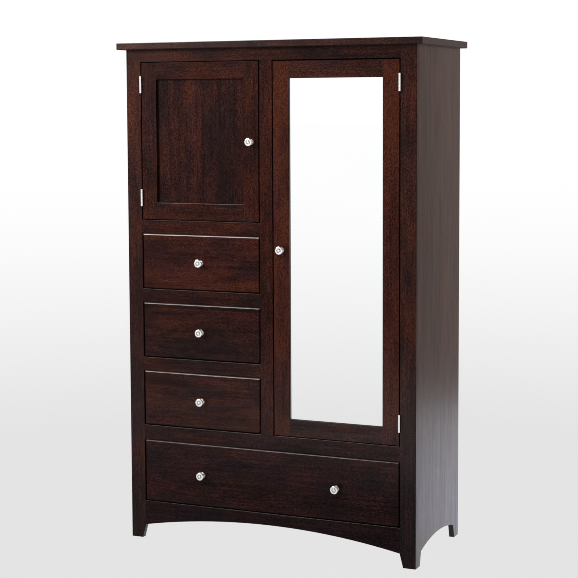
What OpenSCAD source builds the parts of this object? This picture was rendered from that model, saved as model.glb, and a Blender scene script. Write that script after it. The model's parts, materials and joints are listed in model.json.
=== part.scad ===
// Free-standing armoire: a cupboard and three drawers on the left, a mirror-door
// wardrobe on the right and one wide drawer below, on an arched base.
// Frame: +X to the right, +Y to the back, +Z up, millimetres. The origin is on the floor,
// under the middle of the top. The front faces -Y.

/* [Overall] */
// Width of the top
top_w = 1219; // [1200:1:1260]
// Depth of the top
top_d = 534; // [526:1:560]
// Height from the floor to the top surface
total_h = 1905; // [1860:1:1960]
// Thickness of the top
top_t = 25; // [20:1:30]

/* [Case] */
// Width of the case, without the top's overhang
case_w = 1162; // [1150:1:1180]
// Depth of the case, face frame included
case_d = 508; // [500:1:520]
// Thickness of the frame stock and of the case boards
board_t = 20; // [18:1:22]
// Thickness of the back panel
back_t = 6; // [4:1:7]

/* [Face frame] */
// Width of the two outer stiles
outer_stile_w = 61; // [56:1:66]
// Width of the centre stile
centre_stile_w = 52; // [46:1:58]
// Width of the opening of the cupboard and the small drawers
left_open_w = 492; // [480:1:500]
// Height of the rails between the left openings
rail_h = 51; // [44:1:56]
// Height of the rail over the bottom drawer
deck_rail_h = 56; // [50:1:60]
// Height of each small drawer's opening
drawer_open_h = 213; // [200:0.5:216]
// Height of the bottom drawer's opening
bottom_open_h = 242; // [225:1:245]
// Height of the cupboard door's opening
cupboard_open_h = 597; // [585:1:615]

/* [Base] */
// Height of the apron's upper edge
apron_top_z = 146; // [140:1:155]
// Height of the feet below the arches
foot_h = 52; // [45:1:58]
// How much narrower a foot is on the floor than at its top
foot_taper = 13.5; // [5:0.5:18]
// Rise of the front arch
front_rise = 50; // [30:1:56]
// Rise of the side arches
side_rise = 26; // [15:1:35]

/* [Doors] */
// Width of the door stiles and rails
door_member_w = 64; // [55:1:72]
// Gap round each door and drawer front
gap = 2.5; // [1.8:0.1:3]
// Thickness of the mirror
mirror_t = 5; // [4:0.5:6]

/* [Drawers] */
// Thickness of the drawer box boards
box_t = 13; // [11:1:15]
// Length of the drawer boxes and slides
slide_len = 450; // [400:10:460]
// Thickness of a drawer slide
slide_t = 12.7; // [12.5:0.1:13.5]

/* [Eased edges] */
// Chamfer round the drawer fronts
drawer_ease = 3.5; // [0.5:0.5:4]
// Chamfer round the doors and inside their frames
door_ease = 1.5; // [0.5:0.5:2]
// Chamfer on the edges of the top
top_ease = 2; // [0.5:0.5:3]
// Chamfer round the openings of the face frame and on its outer corners
frame_ease = 1; // [0.5:0.5:2]

/* [Hardware] */
// Diameter of the knobs
knob_d = 30; // [26:1:36]
// How far the knobs stand out
knob_out = 26; // [22:1:26]
// Height of the butt hinges
hinge_h = 63.5; // [60:0.5:76]
// Radius of the hinge barrels
barrel_r = 4.2; // [3.5:0.1:4.5]
// Diameter of the hanging rod
rod_d = 32; // [25:1:33]

/* [Hidden] */
$fn = 48;
arch_fn = 720; // the arches are short stretches of wide circles

stain = [0.30, 0.15, 0.12];
maple = [0.80, 0.64, 0.45];
nickel = [0.78, 0.77, 0.75];
zinc = [0.66, 0.68, 0.70];
silver = [0.90, 0.92, 0.93];
hardboard = [0.45, 0.33, 0.22];

// --- Planes of the case ---
face_y = top_d / 2 - case_d;                               // front of the face frame
frame_y = face_y + board_t;                                // back of the face frame
back_y = top_d / 2;                                        // back of the case
rabbet = 8;                                                // depth of the back panel's rabbet
inner_y = back_y - rabbet;                                 // back edge of the inner boards
side_x = case_w / 2;                                       // outer face of a side
wall_x = side_x - board_t;                                 // inner face of a side
case_h = total_h - top_t;
dado = 6;                                                  // depth of the dados

// --- Openings of the face frame ---
open_x = side_x - outer_stile_w;             // inner edge of the outer stiles
centre_x0 = -open_x + left_open_w;           // edges of the centre stile
centre_x1 = centre_x0 + centre_stile_w;
partition_x0 = (centre_x0 + centre_x1 - board_t) / 2;
partition_x1 = partition_x0 + board_t;
deck_z = apron_top_z + bottom_open_h + deck_rail_h;
pitch_z = drawer_open_h + rail_h;
cupboard_z0 = deck_z + 3 * pitch_z;
doors_z1 = cupboard_z0 + cupboard_open_h;    // top of both door openings

// --- Face frame joints ---
tenon_t = 8;
tenon_l = 25;
tenon_shoulder = 7;
mortise_room = 1;                            // a mortise is this much deeper than its tenon
// Each opening is [left, right, bottom, top].
openings = concat(
    [[-open_x, open_x, apron_top_z, apron_top_z + bottom_open_h],
     [-open_x, centre_x0, cupboard_z0, doors_z1],
     [centre_x1, open_x, deck_z, doors_z1]],
    [for (i = [0:2]) [-open_x, centre_x0, deck_z + i * pitch_z, deck_z + i * pitch_z + drawer_open_h]]);
// Each rail is [left end, right end, bottom, top].
top_rail = [-open_x, open_x, doors_z1, case_h];
deck_rail = [-open_x, open_x, deck_z - deck_rail_h, deck_z];
apron_rail = [-open_x, open_x, foot_h, apron_top_z];
left_rails = [for (i = [1:3]) [-open_x, centre_x0, deck_z + i * pitch_z - rail_h, deck_z + i * pitch_z]];
all_rails = concat([top_rail, deck_rail, apron_rail], left_rails);

// --- Hinges ---
leaf_t = 1.6;
leaf_w = 19;                                 // depth of a leaf behind the face
leaf_apart = 0.4;                            // space between two closed leaves
pin_r = 2;
pin_fit = 0.05;                              // radial clearance of the pin in the knuckles
knuckles = 5;
knuckle_gap = 0.3;
barrel_stand = 0.2;                          // space between the barrels and the face
hinge_y = face_y - barrel_r - barrel_stand;  // the pin stands in front of the face
hinge_x = open_x - gap / 2;                  // the pin is over the middle of the gap
hinge_inset = 53;                            // from the ends of the opening
screw_r = 1.9;
screw_l = 14;
screw_head_r = 3.6;
screw_fit = 0.1;                             // radial clearance of a screw in its leaf
// Each screw of a leaf: its height as a part of the leaf's, and its depth as a part of leaf_w.
leaf_screw_places = [[0.18, 0.4], [0.5, 0.68], [0.82, 0.4]];
cupboard_hinges_z = [cupboard_z0 + hinge_inset, doors_z1 - hinge_inset - hinge_h];
mirror_hinges_z = [deck_z + hinge_inset, doors_z1 - hinge_inset - hinge_h];

// --- Doors ---
panel_t = 6;
panel_recess = 9;
groove = 10;                                 // depth of the grooves and width of the rabbets
mirror_recess = 8;
mirror_fit = 0.5;                            // room round the mirror in its rabbet
stop_fit = 1;                                // how much narrower the stops are than the rabbet
backing_t = 3;
// Each door is [left edge, right edge, bottom, top].
cupboard_door = [-open_x + gap, centre_x0 - gap, cupboard_z0 + gap, doors_z1 - gap];
mirror_door = [centre_x1 + gap, open_x - gap, deck_z + gap, doors_z1 - gap];

// --- Knobs and catches ---
knob_base_r = 12;
knob_neck_r = 6;
knob_base_t = 3;
knob_base_bevel = 1.5;                       // how much narrower the base is at its front
knob_flare_h = 5;                            // height of the cone from the neck to the rim
knob_edge_r = 2.5;                           // rounding of the knob's rim
knob_dome_r = 6.5;                           // radius of the raised middle, to its groove
knob_dome_h = 1;
knob_groove_r = 2;
bolt_r = 2;
bolt_fit = 0.05;                             // radial clearance of the bolt in the knob
bolt_in_knob = 12;
bolt_room = 0.3;                             // radial clearance of the bolt holes in wood
bolt_run = 80;                               // length of those holes, past every board
bolt_head = [4, 2.4];                        // radius and height
catch_size = [38, 34, 14];
catch_drop = 38;                             // from the doors' top edge to the catches' bottom
catch_gap = 0.3;                             // between a catch and its strike
strike_size = [16, 1, 12];
strike_inset = 2;                            // from the door's edge
strike_lift = 1;                             // from the catches' bottom to the strikes'

// --- Slides ---
slide_h = 45;
sheet_t = 1.4;
slide_setback = 3;                           // from the back of the face frame
slide_y0 = frame_y + slide_setback;
case_depth = 9.5;                            // width of the case member's flanges
case_lip = 2.5;
mid_x = 3;                                   // the middle member starts this far from the case
mid_h = 35;
mid_depth = 7;
runner_h = 27;
runner_depth = 6.7;

glue = 0.1;                                  // glue line between boards that share a node

// --- Drawers: each is [left edge, right edge, bottom, top] of its opening, and its box height ---
small_box_h = 170;
wide_box_h = 196;
box_lift = 18;                               // from the opening's bottom to the box
slide_lift = 80;                             // from the opening's bottom to the slide's middle
drawer_floor_t = 6;
drawer_floor_lift = 12;
dovetail_pitch = 34;
dovetail_slope = 1.9;
dovetail_part = 0.3;                         // half width of a tail's root, as a part of the pitch
function small_drawer(i) = [
    -open_x, centre_x0, deck_z + (3 - i) * pitch_z, deck_z + (3 - i) * pitch_z + drawer_open_h, small_box_h
];
drawers = [
    small_drawer(1), small_drawer(2), small_drawer(3),
    [-open_x, open_x, apron_top_z, apron_top_z + bottom_open_h, wide_box_h]
];

// --- Inside ---
stretcher_w = 90;
pin_inset = 60;
pin_columns = [frame_y + pin_inset, inner_y - pin_inset];
pin_step = 64;
pin_holes = 5;
pin_lift = 170;                              // from the cupboard's floor to the lowest hole
pin_z0 = cupboard_z0 + pin_lift;
pin_hole_r = 2.5;
pin_hole_depth = 12;
shelf_pin_fit = 0.1;                         // radial clearance of a shelf pin in its hole
shelf_pin_out = 12;
collar_t = 1.2;                              // thickness and width of the pins' collars
shelf_rooms = [2.5, 6, 4];                   // space at the shelf's ends, front and back
shelf_row = 2;                               // the shelf rests on this row of holes
shelf_z = pin_z0 + shelf_row * pin_step + pin_hole_r;
rod_drop = 140;
rod_z = case_h - rod_drop;
rod_y = (frame_y + inner_y) / 2;
rod_fit = 0.3;                               // radial clearance of the rod in its sockets
socket_flange_t = 4;
socket_flange_w = 12;
socket_wall = 3.5;
socket_l = 16;

// ---------------------------------------------------------------- helpers

// A board between two corners.
module board(lo, hi) {
    translate(lo) cube(hi - lo);
}

// Extrudes a (Y, Z) outline along X.
module along_x(x0, x1) {
    translate([x0, 0, 0]) rotate([90, 0, 90]) linear_extrude(x1 - x0) children();
}

// Extrudes an (X, Z) outline along Y.
module along_y(y0, y1) {
    translate([0, y1, 0]) rotate([90, 0, 0]) linear_extrude(y1 - y0) children();
}

// A round bar along X or Y, between two coordinates.
module bar_x(x0, x1, y, z, r) {
    translate([x0, y, z]) rotate([0, 90, 0]) cylinder(r = r, h = x1 - x0);
}

module bar_y(y0, y1, x, z, r) {
    translate([x, y1, z]) rotate([90, 0, 0]) cylinder(r = r, h = y1 - y0);
}

// An (X, Z) rectangle that is grown by g0 at y0 and by g1 at y1.
module funnel(x, z, y0, y1, g0, g1) {
    corners = [[0, 0], [1, 0], [1, 1], [0, 1]];
    points = [for (e = [[y0, g0], [y1, g1]], c = corners)
        [x[c[0]] + (c[0] * 2 - 1) * e[1], e[0], z[c[1]] + (c[1] * 2 - 1) * e[1]]];
    polyhedron(points, [[3, 2, 1, 0], [5, 6, 7, 4], [1, 5, 4, 0], [2, 6, 5, 1], [7, 6, 2, 3], [4, 7, 3, 0]]);
}

// What a door or drawer front with chamfered front edges fills.
module eased_outline(x, z, ease) {
    funnel(x, z, face_y, frame_y + 1, -ease, board_t + 1 - ease);
}

// Radius of an arch of this half span and rise.
function arch_r(half_span, rise) = (half_span * half_span + rise * rise) / (2 * rise);

// ---------------------------------------------------------------- case

module top_panel() {
    lo = [-top_w / 2, -top_d / 2, case_h];
    hi = [top_w / 2, back_y, total_h];
    color(stain) hull()
        for (flat = [[0, 1, 1], [1, 0, 1], [1, 1, 0]]) board(lo + flat * top_ease, hi - flat * top_ease);
}

// The gap under a side: a wide cylinder makes the arch, between the tapered feet's edges.
module side_gap() {
    y0 = face_y + outer_stile_w;
    y1 = back_y - outer_stile_w;
    r = arch_r((y1 - y0) / 2, side_rise);
    top_z = foot_h + 2 * side_rise;
    low = foot_taper * (1 + 1 / foot_h);       // widening of the gap 1 mm below the floor
    high = foot_taper * (top_z / foot_h - 1);  // narrowing at top_z
    intersection() {
        bar_x(wall_x - 1, side_x + 1, (y0 + y1) / 2, foot_h + side_rise - r, r, $fn = arch_fn);
        along_x(wall_x - 2, side_x + 2)
            polygon([[y0 - low, -1], [y0 + high, top_z], [y1 - high, top_z], [y1 + low, -1]]);
    }
}

// A dado in the inner face of the right side, for a board whose upper face is at top_z.
module side_dado(top_z) {
    board([wall_x - 1, frame_y, top_z - board_t], [wall_x + dado, inner_y, top_z]);
}

module shelf_holes(x0, x1) {
    for (y = pin_columns, i = [0:pin_holes - 1])
        bar_x(x0, x1, y, pin_z0 + i * pin_step, pin_hole_r);
}

// The right side, with the dados that both sides share.
module side_panel() {
    difference() {
        board([wall_x, frame_y, 0], [side_x, back_y, case_h]);
        side_gap();
        side_dado(apron_top_z);
        side_dado(deck_z);
        side_dado(case_h);
        board([wall_x - 1, inner_y, foot_h + rabbet], [wall_x + groove, back_y + 1, case_h + 1]);
    }
}

module side_panel_right() {
    color(stain) side_panel();
}

module side_panel_left() {
    color(stain) difference() {
        mirror([1, 0, 0]) side_panel();
        mirror([1, 0, 0]) side_dado(cupboard_z0);
        shelf_holes(-wall_x - pin_hole_depth, -wall_x + 1);
    }
}

// The tenons at both ends of a rail, or with extra depth their mortises.
module rail_tenons(rail, extra = 0) {
    y0 = (face_y + frame_y - tenon_t) / 2;
    for (x = [rail[0] - tenon_l - extra, rail[1]])
        board([x, y0, rail[2] + tenon_shoulder],
              [x + tenon_l + extra, y0 + tenon_t, rail[3] - tenon_shoulder]);
}

// The centre stile's tenons, or with extra depth their mortises.
module centre_tenons(extra = 0) {
    y0 = (face_y + frame_y - tenon_t) / 2;
    for (z = [deck_z - tenon_l - extra, doors_z1])
        board([centre_x0 + tenon_shoulder, y0, z],
              [centre_x1 - tenon_shoulder, y0 + tenon_t, z + tenon_l + extra]);
}

// Cuts the chamfers round the openings, and those on the outer corners, from the face frame.
module eased_frame() {
    difference() {
        children();
        for (o = openings)
            funnel([o[0], o[1]], [o[2], o[3]], face_y - 1, face_y + frame_ease, frame_ease + 1, 0);
        for (hand = [0, 1]) mirror([hand, 0, 0]) linear_extrude(case_h)
            polygon([[side_x + 1, face_y - 1], [side_x + 1, face_y + frame_ease + 1],
                     [side_x - frame_ease - 1, face_y - 1]]);
    }
}

module rail_body(rail) {
    board([rail[0], face_y, rail[2]], [rail[1], frame_y, rail[3]]);
    rail_tenons(rail);
}

// The right outer stile without its hinge mortises.
module outer_stile() {
    difference() {
        along_y(face_y, frame_y)
            polygon([[open_x + foot_taper, 0], [side_x, 0], [side_x, case_h], [open_x, case_h],
                     [open_x, foot_h]]);
        for (rail = [top_rail, deck_rail, apron_rail])
            rail_tenons(rail, mortise_room);
    }
}

module face_stile_right() {
    color(stain) eased_frame() difference() {
        outer_stile();
        hinge_mortises(mirror_hinges_z, -1);
    }
}

module face_stile_left() {
    color(stain) eased_frame() difference() {
        mirror([1, 0, 0]) outer_stile();
        for (rail = left_rails)
            rail_tenons(rail, mortise_room);
        mirror([1, 0, 0]) hinge_mortises(cupboard_hinges_z, -1);
    }
}

module face_stile_centre() {
    color(stain) eased_frame() difference() {
        union() {
            board([centre_x0, face_y, deck_z], [centre_x1, frame_y, doors_z1]);
            centre_tenons();
        }
        for (rail = left_rails)
            rail_tenons(rail, mortise_room);
    }
}

module face_rail_top() {
    color(stain) eased_frame() difference() {
        rail_body(top_rail);
        centre_tenons(mortise_room);
    }
}

module face_rail_over_bottom_drawer() {
    color(stain) eased_frame() difference() {
        rail_body(deck_rail);
        centre_tenons(mortise_room);
    }
}

module face_rails_left_column() {
    color(stain) eased_frame() for (rail = left_rails) rail_body(rail);
}

module front_apron() {
    r = arch_r(open_x, front_rise);
    color(stain) eased_frame() union() {
        difference() {
            board([-open_x, face_y, foot_h], [open_x, frame_y, apron_top_z]);
            bar_y(face_y - 1, frame_y + 1, 0, foot_h + front_rise - r, r, $fn = arch_fn);
        }
        rail_tenons(apron_rail);
    }
}

module back_panel() {
    color(stain)
        board([-wall_x - groove, inner_y, foot_h + rabbet], [wall_x + groove, inner_y + back_t, case_h]);
}

// Two stretchers that hold the top, and the rear rail under the bottom panel.
module case_stretchers() {
    color(stain) {
        for (y = [frame_y, inner_y - stretcher_w])
            board([-wall_x - dado, y, case_h - board_t], [wall_x + dado, y + stretcher_w, case_h]);
        board([-wall_x, inner_y - board_t, foot_h + rabbet], [wall_x, inner_y, apron_top_z - board_t]);
    }
}

module partition() {
    color(stain) difference() {
        board([partition_x0, frame_y, deck_z - dado], [partition_x1, inner_y, case_h - board_t]);
        board([partition_x0 - 1, frame_y - 1, cupboard_z0 - board_t],
              [partition_x0 + dado, inner_y + 1, cupboard_z0]);
        shelf_holes(partition_x0 - 1, partition_x0 + pin_hole_depth);
    }
}

module bottom_panel() {
    color(stain)
        board([-wall_x - dado, frame_y, apron_top_z - board_t], [wall_x + dado, inner_y, apron_top_z]);
}

module deck_panel() {
    color(stain) difference() {
        board([-wall_x - dado, frame_y, deck_z - board_t], [wall_x + dado, inner_y, deck_z]);
        board([partition_x0, frame_y - 1, deck_z - dado], [partition_x1, inner_y + 1, deck_z + 1]);
    }
}

module cupboard_floor() {
    color(stain)
        board([-wall_x - dado, frame_y, cupboard_z0 - board_t], [partition_x0 + dado, inner_y, cupboard_z0]);
}

module adjustable_shelf() {
    color(stain)
        board([-wall_x + shelf_rooms[0], frame_y + shelf_rooms[1], shelf_z],
              [partition_x0 - shelf_rooms[0], inner_y - shelf_rooms[2], shelf_z + board_t]);
}

// One shelf pin at the origin, pointing along +X into the cupboard.
module shelf_pin() {
    in_hole = pin_hole_depth - 1;
    rotate([0, 90, 0]) {
        translate([0, 0, -in_hole]) cylinder(r = pin_hole_r - shelf_pin_fit, h = in_hole);
        cylinder(r = pin_hole_r + collar_t, h = collar_t);
        cylinder(r = pin_hole_r, h = shelf_pin_out);
    }
}

module shelf_pins() {
    z = pin_z0 + shelf_row * pin_step;
    color(nickel) for (y = pin_columns) {
        translate([-wall_x, y, z]) shelf_pin();
        translate([partition_x0, y, z]) mirror([1, 0, 0]) shelf_pin();
    }
}

module hanging_rod() {
    color(nickel)
        bar_x(partition_x1 + socket_flange_t, wall_x - socket_flange_t, rod_y, rod_z, rod_d / 2);
}

// One round socket on the wall at the origin, open along +X.
module rod_socket() {
    difference() {
        rotate([0, 90, 0]) union() {
            cylinder(r = rod_d / 2 + socket_flange_w, h = socket_flange_t);
            cylinder(r = rod_d / 2 + socket_wall, h = socket_l);
        }
        rotate([0, 90, 0]) translate([0, 0, socket_flange_t])
            cylinder(r = rod_d / 2 + rod_fit, h = socket_l);
    }
}

module rod_sockets() {
    color(nickel) {
        translate([partition_x1, rod_y, rod_z]) rod_socket();
        translate([wall_x, rod_y, rod_z]) mirror([1, 0, 0]) rod_socket();
    }
}

// ---------------------------------------------------------------- hinges

// Height range of knuckle k of a hinge whose bottom is at 0.
function knuckle_z(k) = [k * hinge_h / knuckles + (k > 0 ? knuckle_gap / 2 : 0),
                         (k + 1) * hinge_h / knuckles - (k < knuckles - 1 ? knuckle_gap / 2 : 0)];

// Three screws of one leaf, from the leaf's face at x = 0 into the wood along +X.
module leaf_screws(clearance = 0) {
    for (place = leaf_screw_places)
        translate([0, face_y + leaf_w * place[1], hinge_h * place[0]]) rotate([0, 90, 0]) {
            cylinder(r1 = screw_head_r + clearance, r2 = screw_r + clearance, h = leaf_t);
            cylinder(r = screw_r + clearance, h = screw_l);
        }
}

// One leaf of a right-hand hinge, on the +X side of the pin. first is its first knuckle.
module hinge_leaf(first) {
    x0 = leaf_apart / 2;
    difference() {
        union() {
            board([x0, face_y, 0], [x0 + leaf_t, face_y + leaf_w, hinge_h]);
            for (k = [first:2:knuckles - 1]) {
                zz = knuckle_z(k);
                board([x0, hinge_y, zz[0]], [x0 + leaf_t, face_y + 0.1, zz[1]]);
                translate([0, hinge_y, zz[0]]) cylinder(r = barrel_r, h = zz[1] - zz[0]);
            }
        }
        translate([0, hinge_y, -1]) cylinder(r = pin_r + pin_fit, h = hinge_h + 2);
        translate([x0, 0, 0]) leaf_screws(screw_fit);
    }
    translate([x0, 0, 0]) leaf_screws();
}

// Recesses for the leaves and pilot holes, in wood on the +X side of the pin, or on the
// -X side where hand is 1. The pin is at hinge_x.
module hinge_mortises(heights, hand) {
    for (z = heights) translate([hinge_x, 0, z]) mirror([hand > 0 ? 1 : 0, 0, 0]) {
        board([0, face_y - 1, 0], [leaf_apart / 2 + leaf_t, face_y + leaf_w, hinge_h]);
        translate([leaf_apart / 2, 0, 0]) leaf_screws(screw_fit / 2);
    }
}

// The leaves of one door's hinges: those on the stile, or those on the door.
module leaves(heights, on_door) {
    for (z = heights) translate([hinge_x, 0, z]) mirror([on_door ? 1 : 0, 0, 0])
        hinge_leaf(on_door ? 1 : 0);
}

module hinge_case_leaves() {
    color(nickel) {
        leaves(mirror_hinges_z, false);
        mirror([1, 0, 0]) leaves(cupboard_hinges_z, false);
    }
}

module hinge_pins() {
    color(nickel) {
        for (z = mirror_hinges_z) translate([hinge_x, hinge_y, z]) cylinder(r = pin_r, h = hinge_h);
        for (z = cupboard_hinges_z) translate([-hinge_x, hinge_y, z]) cylinder(r = pin_r, h = hinge_h);
    }
}

module cupboard_door_hinge_leaves() {
    color(nickel) mirror([1, 0, 0]) leaves(cupboard_hinges_z, true);
}

module mirror_door_hinge_leaves() {
    color(nickel) leaves(mirror_hinges_z, true);
}

// ---------------------------------------------------------------- knobs and catches

// A round knob on a face at y = 0, pointing along -Y: a rounded rim, a groove and a low dome.
module knob_turning() {
    rim_z = knob_out - knob_dome_h - knob_edge_r;
    core_r = knob_d / 2 - knob_edge_r;
    dome_r = (knob_dome_r * knob_dome_r + knob_dome_h * knob_dome_h) / (2 * knob_dome_h);
    difference() {
        union() {
            cylinder(r1 = knob_base_r, r2 = knob_base_r - knob_base_bevel, h = knob_base_t);
            cylinder(r = knob_neck_r, h = rim_z);
            translate([0, 0, rim_z - knob_edge_r - knob_flare_h])
                cylinder(r1 = knob_neck_r, r2 = core_r, h = knob_flare_h);
            translate([0, 0, rim_z - knob_edge_r]) cylinder(r = core_r, h = 2 * knob_edge_r);
            translate([0, 0, rim_z]) rotate_extrude() translate([core_r, 0]) circle(knob_edge_r);
            intersection() {
                translate([0, 0, knob_out - dome_r]) sphere(dome_r);
                translate([0, 0, rim_z]) cylinder(r = knob_dome_r, h = knob_out - rim_z);
            }
        }
        translate([0, 0, rim_z + knob_edge_r])
            rotate_extrude() translate([knob_dome_r, 0]) circle(knob_groove_r);
        translate([0, 0, -1]) cylinder(r = bolt_r + bolt_fit, h = bolt_in_knob + 2);
    }
}

// The knob with its bolt, which goes through grip mm of wood and has its head on the inside.
module knob(grip) {
    rotate([90, 0, 0]) knob_turning();
    bar_y(-bolt_in_knob, grip, 0, 0, bolt_r);
    bar_y(grip, grip + bolt_head[1], 0, 0, bolt_head[0]);
}

module place_knob(x, z, grip) {
    color(nickel) translate([x, face_y, z]) knob(grip);
}

module bolt_hole(x, z) {
    bar_y(face_y - 1, face_y + bolt_run, x, z, bolt_r + bolt_room);
}

function middle(a, b) = (a + b) / 2;

cupboard_knob_x = cupboard_door[1] - door_member_w / 2;
mirror_knob_x = mirror_door[0] + door_member_w / 2;
cupboard_knob_z = middle(cupboard_door[2], cupboard_door[3]);
mirror_knob_z = middle(mirror_door[2], mirror_door[3]);

module cupboard_door_knob() {
    place_knob(cupboard_knob_x, cupboard_knob_z, board_t);
}

module mirror_door_knob() {
    place_knob(mirror_knob_x, mirror_knob_z, board_t);
}

// Magnet blocks on the partition's two faces, one behind each door's knob stile.
module magnetic_catches() {
    y = frame_y + strike_size[1] + catch_gap;
    z = doors_z1 - catch_drop;
    color(zinc) {
        translate([partition_x0 - catch_size[0], y, z]) cube(catch_size);
        translate([partition_x1, y, z]) cube(catch_size);
    }
}

// The steel plate on a door that a catch holds.
module strike(x) {
    color(zinc) translate([x, frame_y, doors_z1 - catch_drop + strike_lift]) cube(strike_size);
}

module cupboard_door_strike() {
    strike(cupboard_door[1] - strike_inset - strike_size[0]);
}

module mirror_door_strike() {
    strike(mirror_door[0] + strike_inset);
}

// ---------------------------------------------------------------- doors

// The opening inside a door's frame, widened by grow mm, between two depths.
module door_field(door, grow, y0, y1) {
    m = door_member_w - grow;
    board([door[0] + m, y0, door[2] + m], [door[1] - m, y1, door[3] - m]);
}

// Cuts the chamfer inside a door's frame and keeps the one round its outside.
module eased_door(door) {
    m = door_member_w;
    difference() {
        intersection() {
            children();
            eased_outline([door[0], door[1]], [door[2], door[3]], door_ease);
        }
        funnel([door[0] + m, door[1] - m], [door[2] + m, door[3] - m],
               face_y - 1, face_y + door_ease, door_ease + 1, 0);
    }
}

module door_stile_pair(door) {
    eased_door(door)
        for (x = [door[0], door[1] - door_member_w])
            board([x, face_y, door[2]], [x + door_member_w, frame_y, door[3]]);
}

// Stub tenons of the door rails, as long as the grooves are deep.
module door_tenons(door, l, y0, t) {
    for (z = [door[2], door[3] - door_member_w])
        board([door[0] + door_member_w - l, y0, z + tenon_shoulder],
              [door[1] - door_member_w + l, y0 + t, z + door_member_w - tenon_shoulder]);
}

module door_rail_pair(door) {
    eased_door(door)
        for (z = [door[2], door[3] - door_member_w])
            board([door[0] + door_member_w, face_y, z],
                  [door[1] - door_member_w, frame_y, z + door_member_w]);
}

module cupboard_door_stiles() {
    color(stain) difference() {
        door_stile_pair(cupboard_door);
        door_field(cupboard_door, groove, face_y + panel_recess, face_y + panel_recess + panel_t);
        door_tenons(cupboard_door, tenon_l + mortise_room, face_y + panel_recess, panel_t);
        mirror([1, 0, 0]) hinge_mortises(cupboard_hinges_z, 1);
        bolt_hole(cupboard_knob_x, cupboard_knob_z);
    }
}

module cupboard_door_rails() {
    color(stain) difference() {
        union() {
            door_rail_pair(cupboard_door);
            door_tenons(cupboard_door, tenon_l, face_y + panel_recess, panel_t);
        }
        door_field(cupboard_door, groove, face_y + panel_recess, face_y + panel_recess + panel_t);
        door_field(cupboard_door, 0, face_y - 1, frame_y + 1);
    }
}

module cupboard_door_panel() {
    float_room = 1;
    y0 = face_y + panel_recess;
    color(stain)
        door_field(cupboard_door, groove - float_room, y0, y0 + panel_t);
}

module mirror_door_stiles() {
    color(stain) difference() {
        door_stile_pair(mirror_door);
        door_field(mirror_door, groove, face_y + mirror_recess, frame_y + 1);
        door_tenons(mirror_door, tenon_l + mortise_room, face_y + panel_recess, panel_t);
        hinge_mortises(mirror_hinges_z, 1);
        bolt_hole(mirror_knob_x, mirror_knob_z);
    }
}

module mirror_door_rails() {
    color(stain) difference() {
        union() {
            door_rail_pair(mirror_door);
            door_tenons(mirror_door, tenon_l, face_y + panel_recess, panel_t);
        }
        door_field(mirror_door, groove, face_y + mirror_recess, frame_y + 1);
        door_field(mirror_door, 0, face_y - 1, frame_y + 1);
    }
}

module mirror_glass() {
    y0 = face_y + mirror_recess;
    color(silver) door_field(mirror_door, groove - mirror_fit, y0, y0 + mirror_t);
}

module mirror_backing() {
    y0 = face_y + mirror_recess + mirror_t;
    color(hardboard) door_field(mirror_door, groove - mirror_fit, y0, y0 + backing_t);
}

// Four separate strips that hold the mirror and its backing in the rabbet.
module mirror_stops() {
    y0 = face_y + mirror_recess + mirror_t + backing_t;
    w = groove - stop_fit;
    m = door_member_w - w;
    color(stain) {
        for (x = [mirror_door[0] + m, mirror_door[1] - m - w])
            board([x, y0, mirror_door[2] + m + w + glue], [x + w, frame_y, mirror_door[3] - m - w - glue]);
        for (z = [mirror_door[2] + m, mirror_door[3] - m - w])
            board([mirror_door[0] + m, y0, z], [mirror_door[1] - m, frame_y, z + w]);
    }
}

// ---------------------------------------------------------------- slides

// A C-shaped slide member along Y: web at x0, flanges of the given depth towards +X.
module channel(x0, depth, h) {
    translate([x0, 0, -h / 2]) {
        cube([sheet_t, slide_len, h]);
        for (z = [0, h - sheet_t])
            translate([0, 0, z]) cube([depth, slide_len, sheet_t]);
    }
}

// The slide member of one kind on both sides of a drawer's opening.
module slide_pair(d) {
    z = d[2] + slide_lift;
    translate([d[0], slide_y0, z]) children();
    translate([d[1], slide_y0, z]) mirror([1, 0, 0]) children();
}

// Member on the case, with lips that hold the ball races.
module case_member() {
    channel(0, case_depth, slide_h);
    for (z = [-slide_h / 2 + sheet_t, slide_h / 2 - sheet_t - case_lip])
        translate([case_depth - sheet_t, 0, z]) cube([sheet_t, slide_len, case_lip]);
}

module slide_case_members() {
    color(zinc) for (d = drawers) slide_pair(d) case_member();
}

module mid_slides(d) {
    color(zinc) slide_pair(d) channel(mid_x, mid_depth, mid_h);
}

module runners(d) {
    color(zinc) slide_pair(d)
        translate([slide_t, 0, 0]) mirror([1, 0, 0]) channel(0, runner_depth, runner_h);
}

// Hardwood blocks that bring the slides flush with the face frame's stiles.
module slide_spacers() {
    color(maple) for (d = drawers) {
        z = d[2] + slide_lift;
        board([-wall_x, frame_y, z - slide_h / 2], [d[0], slide_y0 + slide_len, z + slide_h / 2]);
        board([d[1], frame_y, z - slide_h / 2],
              [d[1] < 0 ? partition_x0 : wall_x, slide_y0 + slide_len, z + slide_h / 2]);
    }
}

// ---------------------------------------------------------------- drawers

function knob_xs(d) = d[1] - d[0] > left_open_w
    ? [middle(-open_x, centre_x0), -middle(-open_x, centre_x0)]
    : [middle(d[0], d[1])];

module drawer_front(d) {
    z = middle(d[2], d[3]);
    color(stain) difference() {
        intersection() {
            board([d[0] + gap, face_y, d[2] + gap], [d[1] - gap, frame_y, d[3] - gap]);
            eased_outline([d[0] + gap, d[1] - gap], [d[2] + gap, d[3] - gap], drawer_ease);
        }
        for (x = knob_xs(d)) bolt_hole(x, z);
    }
}

module drawer_knobs(d) {
    for (x = knob_xs(d)) place_knob(x, middle(d[2], d[3]), board_t + box_t);
}

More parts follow.
